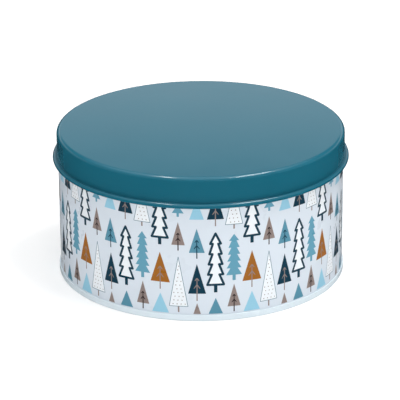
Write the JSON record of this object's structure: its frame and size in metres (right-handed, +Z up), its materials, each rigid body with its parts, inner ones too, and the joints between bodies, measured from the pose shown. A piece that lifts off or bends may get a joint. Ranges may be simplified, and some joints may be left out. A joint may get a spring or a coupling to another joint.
{
  "type": "cookie tin",
  "caption": "Round tinplate tin: straight rolled wall with a double-seamed base and a flat slip lid that has a rounded shoulder and a rolled edge bead.",
  "frame": {"origin": "on the tin's axis, at the plane that its foot stands on", "axes": "+Z up along the tin's axis, towards the lid; -Y is the front and the side seam is at +Y"},
  "size_m": [0.195, 0.195, 0.097],
  "materials": {
    "lid_paint": "petrol blue enamel under a satin varnish on tinplate",
    "printed_wall": "pale blue-white enamel with a printed pattern of small trees, satin varnish, bare tinplate inside",
    "base_coat": "white enamel on tinplate, bare tinplate inside"
  },
  "bodies": {
    "tin": {"body_wall": "printed_wall", "base": "base_coat"},
    "lid": {"lid": "lid_paint"}
  },
  "joints": [
    {"name": "lid_lift", "type": "slide", "parent": "tin", "child": "lid", "axis": [0, 0, 1], "range_m": [0, 0.055]}
  ]
}
